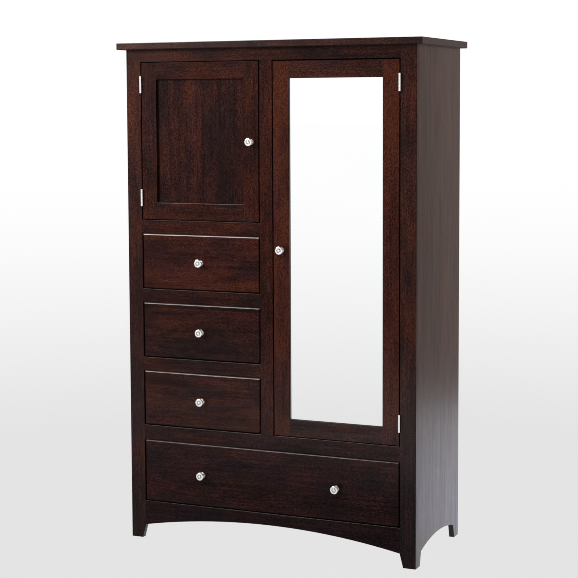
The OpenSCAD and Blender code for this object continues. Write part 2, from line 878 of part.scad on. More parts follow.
// One dovetail as a (Y, Z) outline, from its root to its tip, grown by g for its socket.
module dovetail(root, tip, z, half, g) {
    out = tip > root ? 1 : -1;
    wide = half + dovetail_slope;
    polygon([[root - out * g, z - half - g], [tip + out * g, z - wide - g],
             [tip + out * g, z + wide + g], [root - out * g, z + half + g]]);
}

// The dovetails at both ends of a drawer side, or grown by g, their sockets.
module dovetails(y0, y1, z0, h, g) {
    n = round(h / dovetail_pitch);
    step = h / n;
    for (i = [0:n - 1]) {
        z = z0 + (i + 0.5) * step;
        dovetail(y0 + box_t + glue, y0, z, step * dovetail_part, g);
        dovetail(y1 - box_t - glue, y1, z, step * dovetail_part, g);
    }
}

// The floor of a drawer box, or grown by g, the groove round it.
module drawer_floor(d, g) {
    cover = box_t - drawer_floor_t;
    grow = [g, g, g];
    z = d[2] + box_lift + drawer_floor_lift;
    board([d[0] + slide_t + cover, frame_y + cover, z] - grow,
          [d[1] - slide_t - cover, frame_y + slide_len - cover, z + drawer_floor_t] + grow);
}

// A dovetailed box of five boards: two sides, a front, a back and a floor.
module drawer_box(d) {
    x0 = d[0] + slide_t;
    x1 = d[1] - slide_t;
    y0 = frame_y;
    y1 = y0 + slide_len;
    z0 = d[2] + box_lift;
    z1 = z0 + d[4];
    color(maple) {
        difference() {
            for (x = [x0, x1 - box_t]) {
                board([x, y0 + box_t + glue, z0], [x + box_t, y1 - box_t - glue, z1]);
                along_x(x, x + box_t) dovetails(y0, y1, z0, z1 - z0, 0);
            }
            drawer_floor(d, glue);
        }
        difference() {
            for (y = [y0, y1 - box_t]) board([x0, y, z0], [x1, y + box_t, z1]);
            along_x(x0 - 1, x0 + box_t + glue) dovetails(y0, y1, z0, z1 - z0, glue);
            along_x(x1 - box_t - glue, x1 + 1) dovetails(y0, y1, z0, z1 - z0, glue);
            drawer_floor(d, glue);
            for (x = knob_xs(d)) bolt_hole(x, middle(d[2], d[3]));
        }
        drawer_floor(d, 0);
    }
}

// ---------------------------------------------------------------- nodes

top_panel();
side_panel_left();
side_panel_right();
face_stile_left();
face_stile_right();
face_stile_centre();
face_rail_top();
face_rails_left_column();
face_rail_over_bottom_drawer();
front_apron();
back_panel();
case_stretchers();
partition();
bottom_panel();
deck_panel();
cupboard_floor();
adjustable_shelf();
shelf_pins();
hanging_rod();
rod_sockets();
slide_spacers();
slide_case_members();
hinge_case_leaves();
hinge_pins();
magnetic_catches();
cupboard_door_stiles();
cupboard_door_rails();
cupboard_door_panel();
cupboard_door_hinge_leaves();
cupboard_door_knob();
cupboard_door_strike();
mirror_door_stiles();
mirror_door_rails();
mirror_glass();
mirror_backing();
mirror_stops();
mirror_door_hinge_leaves();
mirror_door_knob();
mirror_door_strike();
drawer_front(drawers[0]);  // drawer_1_front
drawer_box(drawers[0]);  // drawer_1_box
drawer_knobs(drawers[0]);  // drawer_1_knob
runners(drawers[0]);  // drawer_1_runners
mid_slides(drawers[0]);  // drawer_1_mid_slides
drawer_front(drawers[1]);  // drawer_2_front
drawer_box(drawers[1]);  // drawer_2_box
drawer_knobs(drawers[1]);  // drawer_2_knob
runners(drawers[1]);  // drawer_2_runners
mid_slides(drawers[1]);  // drawer_2_mid_slides
drawer_front(drawers[2]);  // drawer_3_front
drawer_box(drawers[2]);  // drawer_3_box
drawer_knobs(drawers[2]);  // drawer_3_knob
runners(drawers[2]);  // drawer_3_runners
mid_slides(drawers[2]);  // drawer_3_mid_slides
drawer_front(drawers[3]);  // drawer_4_front
drawer_box(drawers[3]);  // drawer_4_box
drawer_knobs(drawers[3]);  // drawer_4_knobs
runners(drawers[3]);  // drawer_4_runners
mid_slides(drawers[3]);  // drawer_4_mid_slides
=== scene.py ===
"""An armoire with a mirror door, a cupboard and four drawers, on a pale studio floor."""

import json
import math

import bpy
from mathutils import Euler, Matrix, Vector


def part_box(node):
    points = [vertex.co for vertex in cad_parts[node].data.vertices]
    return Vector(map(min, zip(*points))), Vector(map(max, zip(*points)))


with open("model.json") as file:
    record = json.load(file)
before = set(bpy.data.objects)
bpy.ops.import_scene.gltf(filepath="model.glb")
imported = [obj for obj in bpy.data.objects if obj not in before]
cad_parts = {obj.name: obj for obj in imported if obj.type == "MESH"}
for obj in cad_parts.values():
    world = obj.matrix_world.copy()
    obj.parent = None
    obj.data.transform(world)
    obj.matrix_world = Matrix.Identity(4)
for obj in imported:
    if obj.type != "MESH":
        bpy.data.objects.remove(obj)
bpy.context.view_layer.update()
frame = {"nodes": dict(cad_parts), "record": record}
nodes = frame["nodes"]
scene = bpy.context.scene

SENSOR = 36.0
LENS = 97.105
SHIFT_Y = -0.0848
CAMERA_AT = (2.3585, -5.4578, 1.6656)
YAW, PITCH, ROLL = 23.505, 4.91, -0.249
CLIP_START, CLIP_END = 0.05, 300
PIXEL_FILTER = 0.9


# ---------------------------------------------------------------- camera
def make_camera():
    """A long, slightly shifted lens at eye height, in front of the armoire and to its right."""
    data = bpy.data.cameras.new("Camera")
    data.sensor_width = SENSOR
    data.lens = LENS
    data.shift_y = SHIFT_Y
    data.clip_start = CLIP_START
    data.clip_end = CLIP_END
    cam = bpy.data.objects.new("Camera", data)
    scene.collection.objects.link(cam)
    turn = Euler((math.radians(90 - PITCH), 0, math.radians(YAW)), "XYZ").to_matrix()
    roll = Euler((0, 0, math.radians(ROLL)), "XYZ").to_matrix()
    cam.matrix_world = (turn @ roll).to_4x4()
    cam.location = CAMERA_AT
    scene.camera = cam


make_camera()
scene.view_settings.view_transform = "Standard"
scene.view_settings.look = "None"
scene.cycles.filter_width = PIXEL_FILTER


# ---------------------------------------------------------------- node helpers
CREVICE_SAMPLES = 8


class Tree:
    """A short way to write shader nodes."""

    def __init__(self, material):
        material.use_nodes = True
        self.nodes = material.node_tree.nodes
        self.links = material.node_tree.links
        self.nodes.clear()

    def add(self, kind, inputs=None, **props):
        node = self.nodes.new(kind)
        for key, value in props.items():
            setattr(node, key, value)
        for key, value in (inputs or {}).items():
            self.feed(node.inputs[key], value)
        return node

    def feed(self, socket, value):
        if isinstance(value, bpy.types.NodeSocket):
            self.links.new(value, socket)
        else:
            socket.default_value = value

    def math(self, operation, a, b=0.0, c=None, clamp=False):
        inputs = {0: a, 1: b}
        if c is not None:
            inputs[2] = c
        return self.add("ShaderNodeMath", inputs, operation=operation, use_clamp=clamp).outputs[0]

    def times(self, first, *others):
        for other in others:
            first = self.math("MULTIPLY", first, other)
        return first

    def centred(self, value, middle=0.5):
        return self.math("SUBTRACT", value, middle)

    def vector(self, operation, a, b):
        return self.add("ShaderNodeVectorMath", {0: a, 1: b}, operation=operation).outputs[0]

    def length(self, place):
        return self.add("ShaderNodeVectorMath", {0: place}, operation="LENGTH").outputs[1]

    def coordinates(self, kind):
        return self.add("ShaderNodeTexCoord").outputs[kind]

    def split(self, vector):
        return self.add("ShaderNodeSeparateXYZ", {0: vector}).outputs

    def noise(self, place, scale, detail, rough):
        values = {"Vector": place, "Scale": scale, "Detail": detail, "Roughness": rough}
        return self.add("ShaderNodeTexNoise", values).outputs[0]

    def spread(self, value, low, high, to_low=0.0, to_high=1.0):
        """Low to high becomes to_low to to_high, and stays there beyond."""
        values = {0: value, 1: low, 2: high, 3: to_low, 4: to_high}
        return self.add("ShaderNodeMapRange", values, clamp=True).outputs[0]

    def open_air(self, distance):
        """1 in the open and less in a crevice that is narrower than the distance."""
        values = {"Distance": distance}
        return self.add("ShaderNodeAmbientOcclusion", values, samples=CREVICE_SAMPLES).outputs["AO"]

    def bump(self, height, strength, distance):
        values = {"Strength": strength, "Distance": distance, "Height": height}
        return self.add("ShaderNodeBump", values).outputs[0]

    def mix(self, amount, a, b, blend="MIX"):
        node = self.add("ShaderNodeMix", data_type="RGBA", blend_type=blend)
        self.feed(node.inputs[0], amount)
        self.feed(node.inputs[6], a)
        self.feed(node.inputs[7], b)
        return node.outputs[2]

    def ramp(self, value, stops):
        node = self.add("ShaderNodeValToRGB", {0: value})
        marks = node.color_ramp.elements
        while len(marks) < len(stops):
            marks.new(0.5)
        for mark, (at, colour) in zip(marks, stops):
            mark.position = at
            mark.color = (*colour, 1)
        return node.outputs[0]

    def finish(self, shader, kind="ShaderNodeOutputMaterial"):
        self.links.new(shader, self.add(kind).inputs[0])


def rgb(colour):
    return (*colour, 1)


def scaled(colour, part):
    return rgb([channel * part for channel in colour])


def principled(tree, **values):
    named = {key.replace("_", " "): value for key, value in values.items()}
    tree.finish(tree.add("ShaderNodeBsdfPrincipled", named).outputs[0])


# ---------------------------------------------------------------- wood
# shades of each wood: dark, middle and light
STAIN = ((0.0070, 0.0019, 0.0018), (0.0235, 0.0056, 0.0040), (0.0740, 0.0165, 0.0080))
MAPLE = ((0.40, 0.26, 0.15), (0.58, 0.41, 0.25), (0.70, 0.53, 0.35))
BOARD = ((0.050, 0.024, 0.015), (0.085, 0.042, 0.026), (0.120, 0.062, 0.038))
# cool and warm hues that the shades drift between
STAIN_HUES = ((0.95, 0.95, 1.30), (1.06, 1.05, 0.72))
PALE_HUES = ((0.97, 0.97, 1.04), (1.03, 1.01, 0.95))
# a cool tint painted near the floor, as a painted reflection of the floor
COOL_REFLECTION_TINT = (0.90, 1.03, 1.45)
WHITE = (1, 1, 1)
# how much the flecks change each channel
STAIN_FLECKS = (0.50, 0.95, 1.0)
PALE_FLECKS = (0.08, 0.08, 0.08)
# a pale colour painted on the chamfers that look up, as a painted highlight, and how brightly they shine
# where SHINE has no other, in that painted colour and in lacquer
PAINTED_EDGE_LIGHT = (0.58, 0.49, 0.46)
STAIN_SHINE = 0.18
PALE_SHINE = 0.12

# coat is the lacquer's weight on faces that look forward, and side on those that look sideways
FRONT_GLOSS = {"rough": 0.42, "specular": 0.02, "coat": 0.0, "side": 0.0, "grazing": 1.2,
               "coat_rough": 0.28, "edge_light": 0.8, "bands": 0.5, "low": 0.34, "fleck": 0.13}
TOP_GLOSS = {"rough": 0.40, "specular": 0.12, "coat": 0.0, "side": 0.85, "grazing": 1.4,
             "coat_rough": 0.28, "edge_light": 0.4, "bands": 0.8, "low": 0.0, "fleck": 0.10}
SIDE_GLOSS = {"rough": 0.36, "specular": 0.30, "coat": 0.05, "side": 0.85, "grazing": 0.25,
              "coat_rough": 0.26, "edge_light": 0.3, "bands": 1.0, "low": 0.0, "fleck": 0.0}
PALE_GLOSS = {"rough": 0.50, "specular": 0.35, "coat": 0.0, "side": 0.0, "grazing": 0.0,
              "coat_rough": 0.3, "edge_light": 0.0, "bands": 0.0, "low": 0.0, "fleck": 0.0}

# Noise layers: stretch along and across the grain, scale, detail and roughness.
LAYERS = {
    "wander": (0.5, 4.0, 1.6, 2, 0.5),
    "blotch": (1.0, 2.6, 5.0, 3, 0.55),
    "mottle": (0.4, 1.0, 80, 2, 0.5),
    "band": (0.06, 1.0, 30, 3, 0.6),
    "streak": (0.05, 1.0, 110, 3, 0.6),
    "fibre": (0.02, 1.0, 700, 2, 0.7),
    "pore": (0.045, 1.0, 620, 1, 0.5),
    "hue": (0.8, 1.7, 7.0, 2, 0.5),
}
PORE_RANGE = (0.60, 0.72)
HUE_RANGE = (0.36, 0.64)
FLECK_STRETCH, FLECK_SCALE, FLECK_ROUGH = 0.45, 360, 0.6
FLECK_RANGE = (0.39, 0.61)
# turned, so that no face lies along the noise's own grid
FLECK_TURN = (0.6, 0.4, 0.9)

# growth rings: their width, how far they wander, how late in a ring the late wood darkens, and its
# mean share
RING_WIDTH = 0.012
RING_WANDER = 0.16
LATE_POWER = 2.4
LATE_MEAN = 0.29

# how far staves lie apart in the noise and their hearts in the wood, where the first joint lies in
# stave widths, and an offset that keeps every row positive
STAVE_JUMP = (3.7, 2.9, 4.3)
STAVE_HEART = 0.05
STAVE_START = 0.31
STAVE_OFFSET = 5
# how far pieces lie apart in the noise, and in the row of random numbers for their staves
SEED_STEP = (1.37, 0.71, 0.39)
SEED_ROW = 7.3

# the stain's middle tone and how strongly each layer changes it
MIDDLE_TONE = 0.42
BLOTCH, MOTTLE, BAND, STREAK, FIBRE = 1.45, 0.35, 0.35, 0.5, 0.4
LATE_WOOD = 0.30
STAVE_TONE = 0.30
MIDDLE_STOP = 0.45
PORE_DEPTH, PORE_SHADE = 0.5, 0.35

# heights of the painted shade near the floor, the painted light near the top and the cool painted
# reflection
LOW_SHADE_ZONE = (0.10, 0.70)
TOP_LIGHT_ZONE = (1.20, 1.80)
COOL_REFLECTION_ZONE = (0.20, 0.90)

# which way a face looks, by the parts of its normal
SLANTING = (0.93, 0.80)
UPWARD = (0.2, 0.5)
LEDGE = (0.9, 0.98)
SIDEWAYS = (0.6, 0.9)

# painted shade on the chamfers beside the gaps: its share on pieces with shiny edges and on others, and
# how dark it is, as a part of the darkest shade
SHINY_FROM = 0.2
PAINTED_SHADE_SHINY, PAINTED_SHADE_OTHERS = 0.35, 0.85
PAINTED_SHADE_TONE = 0.2
# painted shade in crevices and gaps: how wide, from how closed to how open, and its colour
CREVICE = 0.010
CREVICE_RANGE = (0.10, 0.75, 0.12, 1.0)
PAINTED_CREVICE_SHADE = (0.002, 0.001, 0.001)

# relief of fibres, pores and late wood, in parts of the bump's height
RELIEF_FIBRE, RELIEF_PORE, RELIEF_LATE = 0.35, -0.8, 0.2
RELIEF_STRENGTH, RELIEF_HEIGHT = 0.35, 0.0004
# two noises together, from smooth to rough, and what they take from and add to the roughness
ROUGH_RANGE = (0.7, 1.3)
ROUGH_LESS, ROUGH_MORE = 0.05, 0.06
# the lacquer's shine rises towards grazing angles, and follows the streaks
GRAZING_POWER = 1.2
SHEEN_STREAK = 1.2

# where the front is rubbed to a higher shine: rising and falling with height, and to the right
RUBBED_RISE = (0.22, 0.48)
RUBBED_FALL = (0.85, 0.52)
RUBBED_RIGHT = (-0.45, 0.45, 0.33, 1.0)
# the sides' sheen: duller to the front, and higher near the floor and the top
FADE_DEPTH = (-0.23, 0.20, 0.58, 1.0)
FADE_FLOOR = (0.75, 0.25, 0.0, 0.09)
FADE_TOP = (1.0, 1.8, 0.0, 0.19)
FADE_MIDDLE = 0.86


def across(grain):
    """The two axes that lie across the grain."""
    return [axis for axis in "xyz" if axis != grain]


def face_masks(t, shine, ledges):
    """Chamfers that face up, which get a painted highlight and more lacquer; the other chamfers,
    which get painted shade, and ledges if asked, darkened the same way; and faces that look sideways."""
    parts = t.split(t.coordinates("Normal"))
    size = [t.math("ABSOLUTE", part) for part in parts]
    most = t.math("MAXIMUM", size[0], t.math("MAXIMUM", size[1], size[2]))
    slanting = t.spread(most, *SLANTING)
    upward = t.spread(parts[2], *UPWARD)
    bright = t.times(slanting, t.times(upward, shine))
    painted_shade = t.times(slanting, t.math("MULTIPLY_ADD", upward, -min(1.0, 2 * shine), 1.0))
    if ledges:
        painted_shade = t.math("MAXIMUM", painted_shade, t.spread(parts[2], *LEDGE))
    return bright, painted_shade, t.spread(size[0], *SIDEWAYS)


def stave_number(t, parts, stave, seed):
    """A random number for each stave of a glued-up panel, or 0 for a single board."""
    if not stave:
        return 0.0
    axis, width = "xyz".index(stave[0]), stave[1]
    moved = t.math("ADD", parts[axis], STAVE_OFFSET + STAVE_START * width)
    row = t.math("FLOOR", t.math("DIVIDE", moved, width))
    number = {"W": t.math("ADD", row, seed * SEED_ROW)}
    return t.add("ShaderNodeTexWhiteNoise", number, noise_dimensions="1D").outputs["Value"]


def late_wood(t, parts, grain, heart, tilt, jump, wander):
    """Growth rings round a heart that runs along the grain and drifts with it."""
    one, two = ["xyz".index(a) for a in across(grain)]
    drift = t.times(t.centred(wander), RING_WANDER)
    aside = t.math("MULTIPLY_ADD", jump, STAVE_HEART, heart[0])
    depth = t.math("MULTIPLY_ADD", parts["xyz".index(grain)], tilt, heart[1])
    u = t.math("ADD", t.math("SUBTRACT", parts[one], aside), drift)
    v = t.math("ADD", t.math("SUBTRACT", parts[two], depth), drift)
    radius = t.math("SQRT", t.math("ADD", t.times(u, u), t.times(v, v)))
    rings = t.math("FRACT", t.math("DIVIDE", radius, RING_WIDTH))
    return t.math("POWER", rings, LATE_POWER)


def wood(name, grain, heart, tilt, shades, seed, gloss, tone=0.0, figure=0.5, pores=0.5,
         hues=PALE_HUES, flecks=PALE_FLECKS, stave=None, shine=PALE_SHINE, ledges=False,
         fade=False, low_shade=0.0, top_light=0.0, veil=0.0):
    """Flat-sawn boards: rings cut at a slant, stain blotches, mottle and fine pores."""
    mat = bpy.data.materials.new(name)
    t = Tree(mat)
    raw = t.coordinates("Object")
    parts = t.split(raw)
    jump = stave_number(t, parts, stave, seed)
    shift = {i: t.math("MULTIPLY_ADD", jump, STAVE_JUMP[i], seed * SEED_STEP[i]) for i in range(3)}
    place = t.vector("ADD", raw, t.add("ShaderNodeCombineXYZ", shift).outputs[0])

    def stretched(along, side):
        scale = [side, side, side]
        scale["xyz".index(grain)] = along
        return t.vector("MULTIPLY", place, scale)

    layer = {key: t.noise(stretched(along, side), *rest) for key, (along, side, *rest) in LAYERS.items()}
    mottle, band, streak, fibre = [layer[key] for key in ("mottle", "band", "streak", "fibre")]
    pore = t.spread(layer["pore"], *PORE_RANGE)
    turn = {"Vector": stretched(FLECK_STRETCH, 1.0), "Rotation": FLECK_TURN}
    turned = t.add("ShaderNodeVectorRotate", turn, rotation_type="EULER_XYZ").outputs[0]
    fleck = t.spread(t.noise(turned, FLECK_SCALE, 1, FLECK_ROUGH), *FLECK_RANGE)
    late = late_wood(t, parts, grain, heart, tilt, jump, layer["wander"])

    # tone, from the darkest of the three shades to the lightest
    level = t.math("MULTIPLY_ADD", t.centred(layer["blotch"]), BLOTCH, MIDDLE_TONE + tone)
    for part, amount in ((mottle, MOTTLE), (band, BAND), (streak, STREAK)):
        level = t.math("MULTIPLY_ADD", t.centred(part), amount, level)
    level = t.math("MULTIPLY_ADD", t.centred(late, LATE_MEAN), -LATE_WOOD * figure, level)
    if stave:
        level = t.math("MULTIPLY_ADD", t.centred(jump), STAVE_TONE, level)
    # painted shade towards the floor and painted light towards the top
    if low_shade:
        level = t.math("ADD", level, t.spread(parts[2], *LOW_SHADE_ZONE, low_shade, 0.0))
    if top_light:
        level = t.math("ADD", level, t.spread(parts[2], *TOP_LIGHT_ZONE, 0.0, top_light))
    level = t.math("MULTIPLY_ADD", t.centred(fibre), FIBRE, level, clamp=True)
    dark, middle, light = shades
    colour = t.ramp(level, [(0.0, dark), (MIDDLE_STOP, middle), (1.0, light)])
    colour = t.mix(t.times(pore, PORE_DEPTH * pores), colour, scaled(dark, PORE_SHADE))

    # hue, a cool painted reflection near the floor, flecks, a painted highlight and painted shade on the
    # chamfers, and painted shade in crevices
    cool, warm = hues
    hue = t.mix(t.spread(layer["hue"], *HUE_RANGE), rgb(cool), rgb(warm))
    colour = t.mix(1.0, colour, hue, "MULTIPLY")
    # painted reflection: a cool tint near the floor
    if hues == STAIN_HUES:
        low = t.mix(t.spread(parts[2], *COOL_REFLECTION_ZONE), rgb(COOL_REFLECTION_TINT), rgb(WHITE))
        colour = t.mix(1.0, colour, low, "MULTIPLY")
    speck = t.mix(fleck, rgb([1 - part for part in flecks]), rgb([1 + part for part in flecks]))
    colour = t.mix(1.0, colour, speck, "MULTIPLY")
    bright_edges, dark_edges, sideways = face_masks(t, shine, ledges)
    # painted highlight: the chamfers that look up are paled as if lit
    colour = t.mix(t.times(bright_edges, gloss["edge_light"]), colour, rgb(PAINTED_EDGE_LIGHT))
    # painted shade: the other chamfers, beside the gaps, are darkened
    dark_edges = t.times(dark_edges, PAINTED_SHADE_SHINY if shine > SHINY_FROM else PAINTED_SHADE_OTHERS)
    colour = t.mix(dark_edges, colour, scaled(dark, PAINTED_SHADE_TONE))
    # painted shade: crevices and gaps are darkened nearly to black
    open_air = t.spread(t.open_air(CREVICE), *CREVICE_RANGE)
    colour = t.mix(open_air, rgb(PAINTED_CREVICE_SHADE), colour)

    # the surface under the lacquer
    less, more = gloss["rough"] - ROUGH_LESS, gloss["rough"] + ROUGH_MORE
    rough = t.spread(t.math("ADD", mottle, fibre), *ROUGH_RANGE, less, more)
    height = t.math("MULTIPLY_ADD", fibre, RELIEF_FIBRE, t.times(pore, RELIEF_PORE * pores))
    height = t.math("MULTIPLY_ADD", late, RELIEF_LATE * figure, height)

    # the lacquer
    facing = t.add("ShaderNodeLayerWeight", {"Blend": 0.5}).outputs["Facing"]
    grazing = t.math("POWER", facing, GRAZING_POWER)
    coat = t.spread(sideways, 0, 1, gloss["coat"] + veil, gloss["side"])
    coat = t.math("MULTIPLY_ADD", grazing, gloss["grazing"], coat)
    coat = t.math("MULTIPLY_ADD", fleck, gloss["fleck"], coat)
    streaks = t.math("MULTIPLY_ADD", t.centred(streak), SHEEN_STREAK, 1.0)
    sheen = t.math("ADD", streaks, t.times(t.centred(band), gloss["bands"]))
    if gloss["low"]:
        rubbed = t.times(t.spread(parts[2], *RUBBED_RISE), t.spread(parts[2], *RUBBED_FALL))
        rubbed = t.times(rubbed, t.spread(parts[0], *RUBBED_RIGHT))
        coat = t.math("MULTIPLY_ADD", rubbed, gloss["low"], coat)
    if fade:
        ends = t.math("ADD", t.spread(parts[2], *FADE_FLOOR), t.spread(parts[2], *FADE_TOP))
        sheen = t.times(sheen, t.spread(parts[1], *FADE_DEPTH), t.math("ADD", ends, FADE_MIDDLE))
    # painted shade on the lacquer too: it is dimmed in crevices and on the shaded chamfers
    coat = t.times(coat, sheen, open_air, t.math("SUBTRACT", 1.0, dark_edges))
    coat = t.math("MAXIMUM", coat, bright_edges)
    principled(
        t,
        Base_Color=colour,
        Roughness=rough,
        Normal=t.bump(height, RELIEF_STRENGTH, RELIEF_HEIGHT),
        Specular_IOR_Level=gloss["specular"],
        Coat_Weight=t.math("MINIMUM", coat, 1.0),
        Coat_Roughness=gloss["coat_rough"],
    )
    return mat


CASE_STAVES = ("y", 0.085)
DRAWER_STAVES = ("z", 0.112)

# node: (grain axis, tone, seed, staves as the axis across them and their width)
STAINED = {
    "top_panel": ("x", 0.0, 1, ("y", 0.09)),
    "side_panel_left": ("z", 0.20, 2, CASE_STAVES),
    "side_panel_right": ("z", 0.20, 3, CASE_STAVES),
    "face_stile_left": ("z", 0.10, 4, None),
    "face_stile_right": ("z", 0.22, 5, None),
    "face_stile_centre": ("z", 0.20, 6, None),
    "face_rail_top": ("x", 0.24, 7, None),
    "face_rails_left_column": ("x", 0.08, 8, None),
    "face_rail_over_bottom_drawer": ("x", 0.0, 9, None),
    "front_apron": ("x", -0.12, 10, None),
    "case_stretchers": ("x", 0.0, 11, None),
    "partition": ("z", 0.0, 12, CASE_STAVES),
    "bottom_panel": ("x", 0.0, 13, CASE_STAVES),
    "deck_panel": ("x", 0.0, 14, CASE_STAVES),
    "cupboard_floor": ("x", 0.0, 15, CASE_STAVES),
    "adjustable_shelf": ("x", 0.0, 16, CASE_STAVES),
    "cupboard_door_stiles": ("z", 0.14, 17, None),
    "cupboard_door_rails": ("x", 0.16, 18, None),
    "cupboard_door_panel": ("z", 0.0, 19, ("x", 0.066)),
    "mirror_door_stiles": ("z", 0.44, 20, None),
    "mirror_door_rails": ("x", 0.14, 21, None),
    "mirror_stops": ("z", 0.0, 22, None),
    "drawer_1_front": ("x", 0.22, 23, DRAWER_STAVES),
    "drawer_2_front": ("x", -0.10, 24, DRAWER_STAVES),
    "drawer_3_front": ("x", 0.18, 25, DRAWER_STAVES),
    "drawer_4_front": ("x", -0.02, 26, None),
}
# how brightly the upper edges shine, in painted highlight and in lacquer, by the start of the node's
# name
SHINE = {"drawer_1": 1.0, "drawer_4": 0.30, "drawer_": 0.58, "top_": 0.0, "mirror_door": 0.0}
# how plainly the growth rings show, where it isn't the usual
FIGURE = {"drawer_4_front": 0.9, "drawer_2_front": 0.8}
# painted shade: darker towards the floor
PAINTED_LOW_SHADE = {"face_stile_left": -0.15, "face_stile_right": -0.55, "front_apron": -0.14,
        "mirror_door_stiles": -0.12}
# and painted light: lighter towards the top
PAINTED_TOP_LIGHT = {"face_stile_left": 0.27, "mirror_door_stiles": 0.20}
# a little more lacquer than the others
VEIL = {"face_stile_right": 0.10, "face_stile_left": 0.07, "face_rail_top": 0.06,
        "mirror_door_rails": 0.09, "mirror_door_stiles": 0.03}
FIGURE_USUAL, FIGURE_BOARD = 0.5, 0.9
PORES_MAPLE, PORES_BOARD = 0.2, 0.7
TILT_MAPLE, TILT_BOARD = 0.02, 0.03
# paler pieces have fainter flecks
FLECK_FADE = 0.6

# node: (grain axis, seed)
PALE = {
    "slide_spacers": ("y", 31),
    "drawer_1_box": ("x", 32),
    "drawer_2_box": ("x", 33),
    "drawer_3_box": ("x", 34),
    "drawer_4_box": ("x", 35),
}
BOARDS = {"back_panel": ("z", 41), "mirror_backing": ("z", 42)}


def dress(name, material):
    obj = nodes[name]
    if not obj.data.materials:
        obj.data.materials.append(material)
    for slot in obj.material_slots:
        slot.material = material


# how far a heart lies aside and behind, how steeply it tilts, and how these vary with the seed
HEART_ASIDE, HEART_DEPTH, HEART_STEP = 0.03, 0.045, 2.4
TILT, TILT_STEP = 0.035, 1.9


def heart_of(name, grain, seed):
    """A heart line just behind the node's middle, so its face is flat-sawn."""
    lo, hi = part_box(name)
    axes = ["xyz".index(a) for a in across(grain)]
    heart = [(lo[a] + hi[a]) / 2 for a in axes]
    wide = 0 if hi[axes[0]] - lo[axes[0]] > hi[axes[1]] - lo[axes[1]] else 1
    heart[wide] += HEART_ASIDE * math.sin(seed * HEART_STEP)
    heart[1 - wide] += HEART_DEPTH
    return heart


def gloss_of(name):
    if name == "top_panel":
        return TOP_GLOSS
    return SIDE_GLOSS if name.startswith("side_panel") else FRONT_GLOSS


for name, (grain, tone, seed, stave) in STAINED.items():
    tilt = TILT * math.cos(seed * TILT_STEP)
    gloss = gloss_of(name)
    shine = next((part for start, part in SHINE.items() if name.startswith(start)), STAIN_SHINE)
    dress(name, wood("wood_" + name, grain, heart_of(name, grain, seed), tilt, STAIN, seed, gloss,
                     tone=tone, figure=FIGURE.get(name, FIGURE_USUAL), stave=stave,
                     hues=STAIN_HUES,
                     flecks=[part * (1 - FLECK_FADE * max(0, tone)) for part in STAIN_FLECKS],
                     shine=shine, ledges=name.startswith("mirror_door"), fade=gloss is SIDE_GLOSS,
                     low_shade=PAINTED_LOW_SHADE.get(name, 0.0), top_light=PAINTED_TOP_LIGHT.get(name, 0.0),
                     veil=VEIL.get(name, 0.0)))
for name, (grain, seed) in PALE.items():
    dress(name, wood("maple_" + name, grain, heart_of(name, grain, seed), TILT_MAPLE, MAPLE, seed,
                     PALE_GLOSS, figure=FIGURE_USUAL, pores=PORES_MAPLE))
for name, (grain, seed) in BOARDS.items():
    dress(name, wood("board_" + name, grain, heart_of(name, grain, seed), TILT_BOARD, BOARD, seed,
                     PALE_GLOSS, figure=FIGURE_BOARD, pores=PORES_BOARD))


# ---------------------------------------------------------------- metal and mirror
# the metal's clouds, grain, shading, crevices and relief, and the mirror's haze and dust
CLOUD_SCALE, FINE_SCALE = 140, 2600
METAL_SHADE = 0.22
METAL_CREVICE = 0.005
METAL_CREVICE_RANGE = (0.45, 0.9)
METAL_CREVICE_SHADE = 0.16
METAL_RELIEF, METAL_HEIGHT = 0.12, 0.0001
HAZE_SCALE, DUST_SCALE = 5.0, 900
HAZE_TINTS = [(0.3, (0.975, 0.985, 0.98)), (0.7, (0.99, 0.992, 0.99))]
HAZE_ROUGH = (0.4, 0.8, 0.0, 0.012)
DUST_RANGE, DUST_ROUGH = (0.66, 0.80), 0.02


def metal(name, colour, rough, cloud):
    """Metal with faint clouds and a fine grain, darker in its crevices."""
    mat = bpy.data.materials.new(name)
    t = Tree(mat)
    place = t.coordinates("Object")
    cloudy = t.noise(place, CLOUD_SCALE, 3, 0.6)
    fine = t.noise(place, FINE_SCALE, 2, 0.6)
    shade = t.math("MULTIPLY_ADD", t.centred(cloudy), METAL_SHADE, 1.0)
    grey = t.add("ShaderNodeCombineXYZ", {0: shade, 1: shade, 2: shade}).outputs[0]
    tint = t.mix(1.0, rgb(colour), grey, "MULTIPLY")
    crevice = t.spread(t.open_air(METAL_CREVICE), *METAL_CREVICE_RANGE)
    tint = t.mix(crevice, scaled(colour, METAL_CREVICE_SHADE), tint)
    roughness = t.spread(t.math("ADD", cloudy, fine), *ROUGH_RANGE, rough - cloud, rough + cloud)
    principled(t, Base_Color=tint, Metallic=1.0, Roughness=roughness,
               Normal=t.bump(fine, METAL_RELIEF, METAL_HEIGHT))
    return mat


def mirror():
    """Silvered glass with a breath of haze and dust."""
    mat = bpy.data.materials.new("silvered_glass")
    t = Tree(mat)
    place = t.coordinates("Object")
    haze = t.noise(place, HAZE_SCALE, 3, 0.6)
    dust = t.spread(t.noise(place, DUST_SCALE, 2, 0.7), *DUST_RANGE)
    rough = t.math("MULTIPLY_ADD", dust, DUST_ROUGH, t.spread(haze, *HAZE_ROUGH))
    principled(t, Base_Color=t.ramp(haze, HAZE_TINTS), Metallic=1.0, Roughness=rough)
    return mat


# by the record's material slots
METALS = {
    "satin_nickel": metal("satin_nickel", (0.92, 0.905, 0.88), 0.22, 0.06),
    "zinc_steel": metal("zinc_plate", (0.62, 0.64, 0.66), 0.34, 0.1),
    "mirror": mirror(),
}
for part in frame["record"]["subparts"]:
    if part["material_slot"] in METALS:
        dress(part["node"], METALS[part["material_slot"]])


